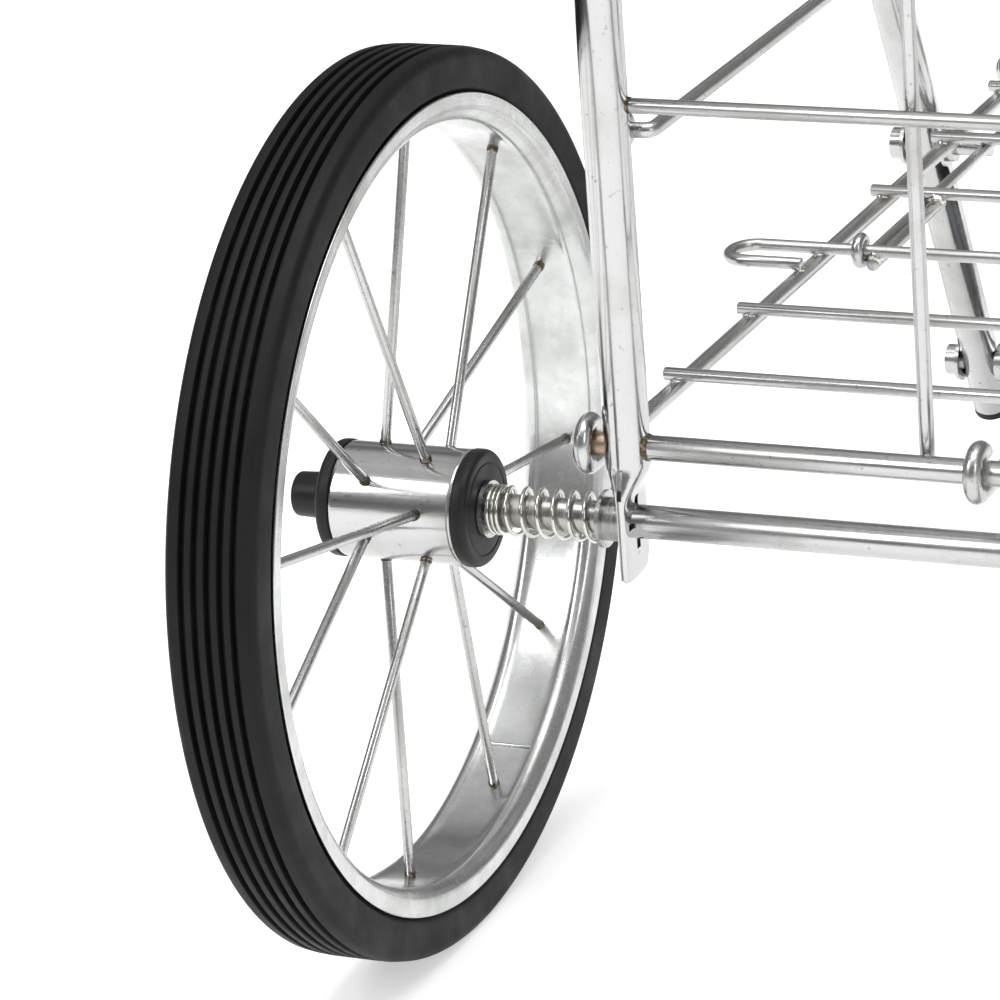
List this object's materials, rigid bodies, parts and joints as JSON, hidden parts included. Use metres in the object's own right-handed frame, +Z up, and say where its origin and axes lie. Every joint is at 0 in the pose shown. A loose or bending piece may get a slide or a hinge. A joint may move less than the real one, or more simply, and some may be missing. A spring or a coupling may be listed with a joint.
{
  "type": "shopping cart",
  "caption": "Folding wire shopping cart with a deep basket, a slanted tube handle frame, large spoked rear wheels and small front wheels.",
  "frame": {"origin": "on the ground under the middle of the cart's outline", "axes": "+Z up, +Y forward, away from the person pushing, +X to the right"},
  "size_m": [0.6196, 0.541, 1.013],
  "materials": {
    "plated_tube": "bright zinc plate over drawn steel tube, fine draw lines, dulled in places",
    "plated_wire": "bright zinc plate over drawn wire, brown heat marks at welds",
    "plated_rim": "bright plate over rolled steel sheet",
    "plated_steel": "zinc plate, slightly yellow",
    "axle_steel": "turned bright steel bar",
    "spring_steel": "plated spring wire",
    "tyre_rubber": "matte black-grey solid rubber, dusty tread",
    "black_plastic": "moulded black plastic",
    "grip_foam": "matte black sleeve",
    "wheel_plastic": "moulded grey plastic"
  },
  "bodies": {
    "handle_frame": {"handle_tube": "plated_tube", "handle_grip": "grip_foam", "tube_end_plugs": "black_plastic", "stay_bolts": "plated_steel", "pivot_bolts": "plated_steel", "bolt_washers": "plated_steel", "bolt_nuts": "plated_steel", "pivot_spacers": "black_plastic", "front_axle": "plated_steel", "front_axle_spacers": "plated_steel"},
    "rear_frame": {"rear_leg_frame": "plated_tube", "rear_cross_rod": "plated_wire", "rear_panel_level_wires": "plated_wire", "rear_panel_upright_wires": "plated_wire", "rear_axle": "axle_steel", "axle_caps": "black_plastic", "spring_washers": "plated_steel", "axle_collars": "axle_steel", "left_axle_spring": "spring_steel", "right_axle_spring": "spring_steel"},
    "floor": {"floor_stringers": "plated_wire", "floor_cross_wires": "plated_wire", "latch_stop_wires": "plated_wire"},
    "front_panel": {"front_panel_frame": "plated_tube", "front_lower_rod": "plated_wire", "front_panel_level_wires": "plated_wire", "front_panel_upright_wires": "plated_wire"},
    "side_rails_1": {"left_side_rail_1": "plated_wire", "right_side_rail_1": "plated_wire"},
    "side_rails_2": {"left_side_rail_2": "plated_wire", "right_side_rail_2": "plated_wire"},
    "side_rails_3": {"left_side_rail_3": "plated_wire", "right_side_rail_3": "plated_wire"},
    "side_rails_4": {"left_side_rail_4": "plated_wire", "right_side_rail_4": "plated_wire"},
    "left_rear_wheel": {"left_rear_tyre": "tyre_rubber", "left_rear_rim": "plated_rim", "left_rear_spokes": "plated_wire", "left_rear_hub": "plated_tube", "left_hub_bushes": "black_plastic"},
    "left_front_roller": {"left_front_tyre": "tyre_rubber", "left_front_wheel": "wheel_plastic"},
    "left_latch": {"left_latch_rod": "plated_wire"},
    "right_rear_wheel": {"right_rear_tyre": "tyre_rubber", "right_rear_rim": "plated_rim", "right_rear_spokes": "plated_wire", "right_rear_hub": "plated_tube", "right_hub_bushes": "black_plastic"},
    "right_front_roller": {"right_front_tyre": "tyre_rubber", "right_front_wheel": "wheel_plastic"},
    "right_latch": {"right_latch_rod": "plated_wire"}
  },
  "joints": [
    {"name": "frame_fold", "type": "hinge", "parent": "handle_frame", "child": "rear_frame", "pos_m": [0, -0.14349, 0.78363], "axis": [1, 0, 0], "range_deg": [0, 17.5]},
    {"name": "floor_fold", "type": "hinge", "parent": "rear_frame", "child": "floor", "pos_m": [0, -0.14349, 0.1487], "axis": [1, 0, 0], "range_deg": [0, 78.75]},
    {"name": "front_panel_fold", "type": "hinge", "parent": "floor", "child": "front_panel", "pos_m": [0, 0.22851, 0.1487], "axis": [1, 0, 0], "range_deg": [-78.75, 0]},
    {"name": "side_rail_fold_1", "type": "hinge", "parent": "rear_frame", "child": "side_rails_1", "pos_m": [0, -0.13449, 0.2354], "axis": [1, 0, 0], "range_deg": [0, 78.75]},
    {"name": "side_rail_fold_2", "type": "hinge", "parent": "rear_frame", "child": "side_rails_2", "pos_m": [0, -0.13449, 0.3624], "axis": [1, 0, 0], "range_deg": [0, 78.75]},
    {"name": "side_rail_fold_3", "type": "hinge", "parent": "rear_frame", "child": "side_rails_3", "pos_m": [0, -0.13449, 0.4894], "axis": [1, 0, 0], "range_deg": [0, 78.75]},
    {"name": "side_rail_fold_4", "type": "hinge", "parent": "rear_frame", "child": "side_rails_4", "pos_m": [0, -0.13449, 0.6164], "axis": [1, 0, 0], "range_deg": [0, 78.75]},
    {"name": "left_rear_wheel_spin", "type": "hinge", "parent": "rear_frame", "child": "left_rear_wheel", "pos_m": [0, -0.14349, 0.127], "axis": [1, 0, 0], "continuous": true},
    {"name": "left_front_wheel_spin", "type": "hinge", "parent": "handle_frame", "child": "left_front_roller", "pos_m": [0, 0.22408, 0.04641], "axis": [1, 0, 0], "continuous": true},
    {"name": "left_latch_swing", "type": "hinge", "parent": "floor", "child": "left_latch", "pos_m": [-0.206, 0.03801, 0.1468], "axis": [1, 0, 0], "range_deg": [-20, 0]},
    {"name": "right_rear_wheel_spin", "type": "hinge", "parent": "rear_frame", "child": "right_rear_wheel", "pos_m": [0, -0.14349, 0.127], "axis": [1, 0, 0], "continuous": true},
    {"name": "right_front_wheel_spin", "type": "hinge", "parent": "handle_frame", "child": "right_front_roller", "pos_m": [0, 0.22408, 0.04641], "axis": [1, 0, 0], "continuous": true},
    {"name": "right_latch_swing", "type": "hinge", "parent": "floor", "child": "right_latch", "pos_m": [0.206, 0.03801, 0.1468], "axis": [1, 0, 0], "range_deg": [-20, 0]}
  ],
  "couplings": [
    {"joint": "floor_fold", "follows": "frame_fold", "ratio": 4.5},
    {"joint": "front_panel_fold", "follows": "frame_fold", "ratio": -4.5},
    {"joint": "side_rail_fold_1", "follows": "frame_fold", "ratio": 4.5},
    {"joint": "side_rail_fold_2", "follows": "frame_fold", "ratio": 4.5},
    {"joint": "side_rail_fold_3", "follows": "frame_fold", "ratio": 4.5},
    {"joint": "side_rail_fold_4", "follows": "frame_fold", "ratio": 4.5}
  ]
}
